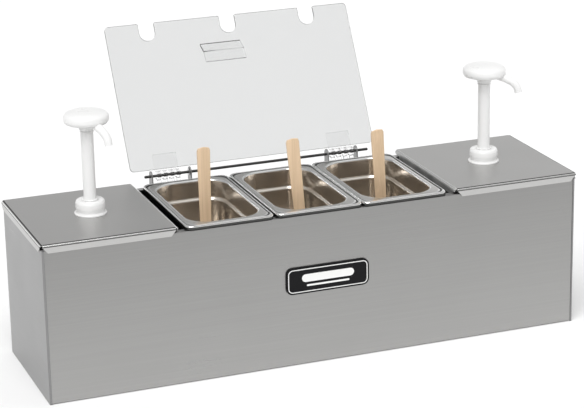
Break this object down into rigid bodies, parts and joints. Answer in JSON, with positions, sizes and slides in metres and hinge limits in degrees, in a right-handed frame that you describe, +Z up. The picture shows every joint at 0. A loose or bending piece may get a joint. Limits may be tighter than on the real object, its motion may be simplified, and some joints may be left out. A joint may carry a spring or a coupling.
{
  "type": "condiment pump dispenser",
  "caption": "Long steel countertop housing with a hand pump over a covered deep pan at each end, open small pans between them and a hinged clear lid notched for serving sticks.",
  "frame": {"origin": "centre of the housing's underside, on the counter", "axes": "+X along the length, to the right from the front; +Y towards the back, where the lid's hinge is; +Z up"},
  "size_m": [0.673, 0.288, 0.3649],
  "materials": {
    "housing_steel": "satin stainless sheet, faint horizontal grain",
    "cover_steel": "satin stainless sheet",
    "pan_steel": "drawn stainless steel, semi-bright inside",
    "hardware_steel": "bent and riveted stainless strip",
    "rod_steel": "dark drawn steel rod",
    "spring_steel": "stainless spring wire",
    "ball_steel": "bright steel ball",
    "clear_acrylic": "clear polished acrylic sheet",
    "white_plastic": "white moulded plastic",
    "seal_rubber": "grey rubber ring",
    "badge_enamel": "black enamelled plate with a plain raised border",
    "stick_wood": "pale unvarnished wood"
  },
  "bodies": {
    "housing": {"housing_wrap": "housing_steel", "left_end_panel": "housing_steel", "right_end_panel": "housing_steel", "left_divider": "housing_steel", "right_divider": "housing_steel", "badge_plate": "badge_enamel", "hinge_rod": "rod_steel", "rod_clip_left": "rod_steel", "rod_clip_right": "rod_steel", "hinge_bracket_1": "hardware_steel", "hinge_bracket_2": "hardware_steel", "hinge_bracket_3": "hardware_steel", "hinge_bracket_4": "hardware_steel", "bracket_rivet_1": "hardware_steel", "bracket_rivet_2": "hardware_steel", "bracket_rivet_3": "hardware_steel", "bracket_rivet_4": "hardware_steel"},
    "lid": {"lid_panel": "clear_acrylic", "lid_handle": "clear_acrylic", "left_hinge_leaf": "clear_acrylic", "right_hinge_leaf": "clear_acrylic"},
    "left_well": {"left_deep_pan": "pan_steel"},
    "left_lid_plate": {"left_cover": "cover_steel"},
    "left_pump": {"left_pump_cap": "white_plastic", "left_pump_barrel": "white_plastic", "left_dip_tube": "white_plastic", "left_foot_ball": "ball_steel", "left_pump_spring": "spring_steel"},
    "left_plunger": {"left_pump_stem": "white_plastic", "left_piston": "white_plastic", "left_piston_seal": "seal_rubber", "left_outlet_ball": "ball_steel"},
    "left_head": {"left_pump_head": "white_plastic", "left_stem_collar": "white_plastic"},
    "right_well": {"right_deep_pan": "pan_steel"},
    "right_lid_plate": {"right_cover": "cover_steel"},
    "right_pump": {"right_pump_cap": "white_plastic", "right_pump_barrel": "white_plastic", "right_dip_tube": "white_plastic", "right_foot_ball": "ball_steel", "right_pump_spring": "spring_steel"},
    "right_plunger": {"right_pump_stem": "white_plastic", "right_piston": "white_plastic", "right_piston_seal": "seal_rubber", "right_outlet_ball": "ball_steel"},
    "right_head": {"right_pump_head": "white_plastic", "right_stem_collar": "white_plastic"},
    "pan_1": {"pan_1": "pan_steel"},
    "stick_1": {"stick_1": "stick_wood"},
    "pan_2": {"pan_2": "pan_steel"},
    "stick_2": {"stick_2": "stick_wood"},
    "pan_3": {"pan_3": "pan_steel"},
    "stick_3": {"stick_3": "stick_wood"}
  },
  "joints": [
    {"name": "lid_close", "type": "hinge", "parent": "housing", "child": "lid", "pos_m": [0, 0.0994, 0.196], "axis": [1, 0, 0], "range_deg": [0, 119.5]},
    {"name": "left_well_lift", "type": "slide", "parent": "housing", "child": "left_well", "axis": [0, 0, -1], "range_m": [-0.16, 0]},
    {"name": "left_cover_lift", "type": "slide", "parent": "left_well", "child": "left_lid_plate", "axis": [0, 0, -1], "range_m": [-0.15, 0]},
    {"name": "left_pump_lift", "type": "slide", "parent": "left_lid_plate", "child": "left_pump", "axis": [0, 0, -1], "range_m": [-0.15, 0]},
    {"name": "left_pump_stroke", "type": "slide", "parent": "left_pump", "child": "left_plunger", "axis": [0, 0, -1], "range_m": [0, 0.07], "stiffness_N_per_m": 120, "springref_m": -0.03, "deforming": ["left_pump_spring"]},
    {"name": "left_head_turn", "type": "hinge", "parent": "left_plunger", "child": "left_head", "pos_m": [-0.2515, 0, 0.3], "axis": [0, 0, 1], "continuous": true},
    {"name": "right_well_lift", "type": "slide", "parent": "housing", "child": "right_well", "axis": [0, 0, -1], "range_m": [-0.16, 0]},
    {"name": "right_cover_lift", "type": "slide", "parent": "right_well", "child": "right_lid_plate", "axis": [0, 0, -1], "range_m": [-0.15, 0]},
    {"name": "right_pump_lift", "type": "slide", "parent": "right_lid_plate", "child": "right_pump", "axis": [0, 0, -1], "range_m": [-0.15, 0]},
    {"name": "right_pump_stroke", "type": "slide", "parent": "right_pump", "child": "right_plunger", "axis": [0, 0, -1], "range_m": [0, 0.07], "stiffness_N_per_m": 120, "springref_m": -0.03, "deforming": ["right_pump_spring"]},
    {"name": "right_head_turn", "type": "hinge", "parent": "right_plunger", "child": "right_head", "pos_m": [0.2542, 0, 0.3], "axis": [0, 0, 1], "continuous": true},
    {"name": "pan_1_lift", "type": "slide", "parent": "housing", "child": "pan_1", "axis": [0, 0, -1], "range_m": [-0.12, 0]},
    {"name": "stick_1_lean", "type": "hinge", "parent": "pan_1", "child": "stick_1", "pos_m": [-0.118, -0.0225, 0.095], "axis": [1, 0, 0], "range_deg": [0, 30.3]},
    {"name": "pan_2_lift", "type": "slide", "parent": "housing", "child": "pan_2", "axis": [0, 0, -1], "range_m": [-0.12, 0]},
    {"name": "stick_2_lean", "type": "hinge", "parent": "pan_2", "child": "stick_2", "pos_m": [-0.0003, -0.0429, 0.095], "axis": [1, 0, 0], "range_deg": [0, 20.9]},
    {"name": "pan_3_lift", "type": "slide", "parent": "housing", "child": "pan_3", "axis": [0, 0, -1], "range_m": [-0.12, 0]},
    {"name": "stick_3_lean", "type": "hinge", "parent": "pan_3", "child": "stick_3", "pos_m": [0.1071, -0.0296, 0.095], "axis": [1, 0, 0], "range_deg": [0, 20.6]}
  ],
  "couplings": [
    {"joint": "stick_1_lean", "follows": "lid_close", "ratio": 0.249},
    {"joint": "stick_2_lean", "follows": "lid_close", "ratio": 0.1709},
    {"joint": "stick_3_lean", "follows": "lid_close", "ratio": 0.1683}
  ]
}
